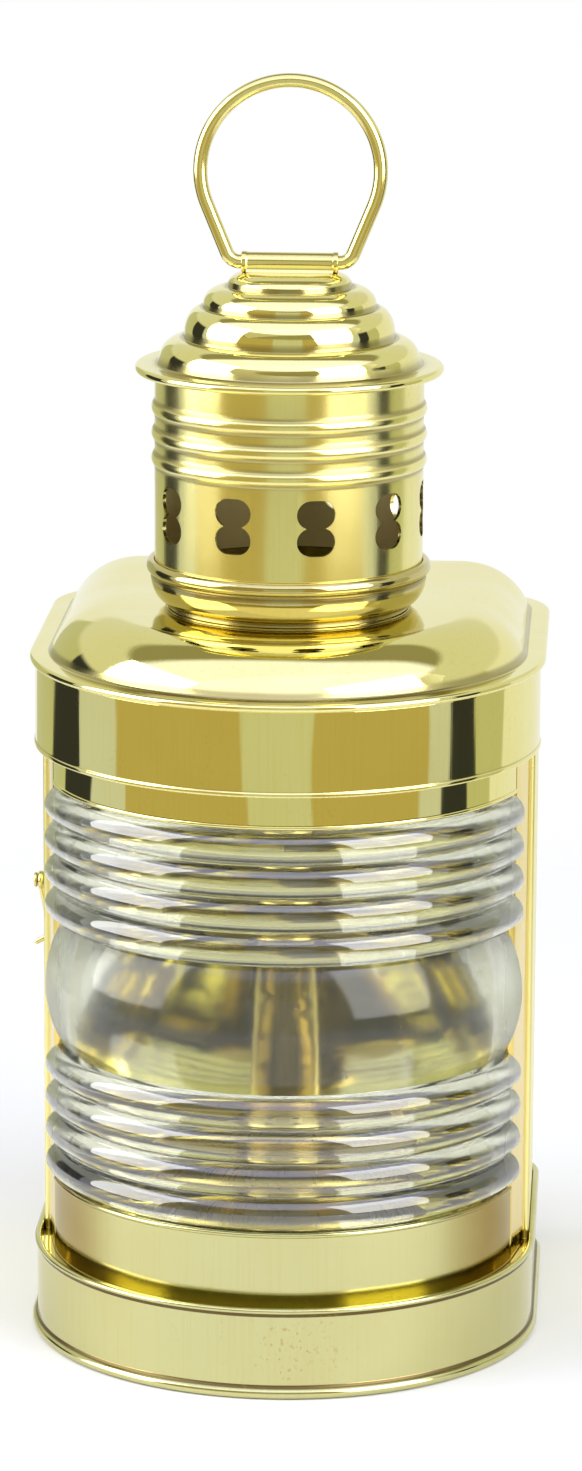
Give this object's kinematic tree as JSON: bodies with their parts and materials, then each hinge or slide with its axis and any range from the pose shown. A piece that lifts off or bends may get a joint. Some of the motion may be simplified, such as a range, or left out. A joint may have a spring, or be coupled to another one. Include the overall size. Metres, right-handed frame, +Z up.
{
  "type": "masthead lantern",
  "caption": "Polished brass masthead oil lantern with a ribbed clear glass front, domed hood, vented chimney, stepped cap, wire bail and rear door.",
  "frame": {"origin": "underside of the base on the lamp axis, which is also the chimney's axis", "axes": "+Z up, -Y out through the lens, +X to the right of someone facing the lens"},
  "size_m": [0.1142, 0.1264, 0.2745],
  "materials": {
    "polished_brass": "polished sheet brass",
    "brass_fittings": "drawn brass wire and small fittings",
    "burner_brass": "spun brass, slightly dulled",
    "clear_glass": "clear pressed glass",
    "cotton_wick": "woven flat cotton"
  },
  "bodies": {
    "lantern": {"base_band": "polished_brass", "base_plate": "polished_brass", "base_deck": "polished_brass", "lower_lens_ring": "polished_brass", "upper_lens_ring": "polished_brass", "left_jamb": "polished_brass", "right_jamb": "polished_brass", "left_side_plate": "polished_brass", "right_side_plate": "polished_brass", "hood_plate": "polished_brass", "hood_skirt": "polished_brass", "hood_dome": "polished_brass", "chimney_cup": "polished_brass", "chimney_tube": "polished_brass", "chimney_cap": "polished_brass", "frame_hinge_leaves": "brass_fittings", "hinge_pins": "brass_fittings", "latch_pivot": "brass_fittings", "bail_tube": "brass_fittings", "font_seat": "burner_brass", "font": "burner_brass", "font_collar": "burner_brass", "burner_body": "burner_brass", "burner_cone": "burner_brass", "wick_tube": "burner_brass", "lens": "clear_glass"},
    "bail": {"bail": "brass_fittings"},
    "door": {"rear_door": "polished_brass", "door_hinge_leaves": "brass_fittings", "latch_keeper": "brass_fittings"},
    "latch": {"latch_hook": "brass_fittings"},
    "wick_raiser": {"wick_spindle": "burner_brass", "wick_wheels": "burner_brass", "wick_knob": "burner_brass"},
    "wick": {"wick": "cotton_wick"}
  },
  "joints": [
    {"name": "bail_swing", "type": "hinge", "parent": "lantern", "child": "bail", "pos_m": [0, 0, 0.23446], "axis": [1, 0, 0], "range_deg": [-115, 115]},
    {"name": "door_hinge", "type": "hinge", "parent": "lantern", "child": "door", "pos_m": [0.024, 0.0688, 0.084], "axis": [0, 0, -1], "range_deg": [0, 120]},
    {"name": "latch_swing", "type": "hinge", "parent": "lantern", "child": "latch", "pos_m": [-0.05695, 0.033, 0.09], "axis": [-1, 0, 0], "range_deg": [0, 270]},
    {"name": "wick_turn", "type": "hinge", "parent": "lantern", "child": "wick_raiser", "pos_m": [0, -0.00422, 0.0528], "axis": [1, 0, 0], "range_deg": [-57.5, 95.6]},
    {"name": "wick_slide", "type": "slide", "parent": "lantern", "child": "wick", "axis": [0, 0, 1], "range_m": [-0.003, 0.005]}
  ],
  "couplings": [
    {"joint": "wick_turn", "follows": "wick_slide", "rad_per_m": 333.33}
  ]
}
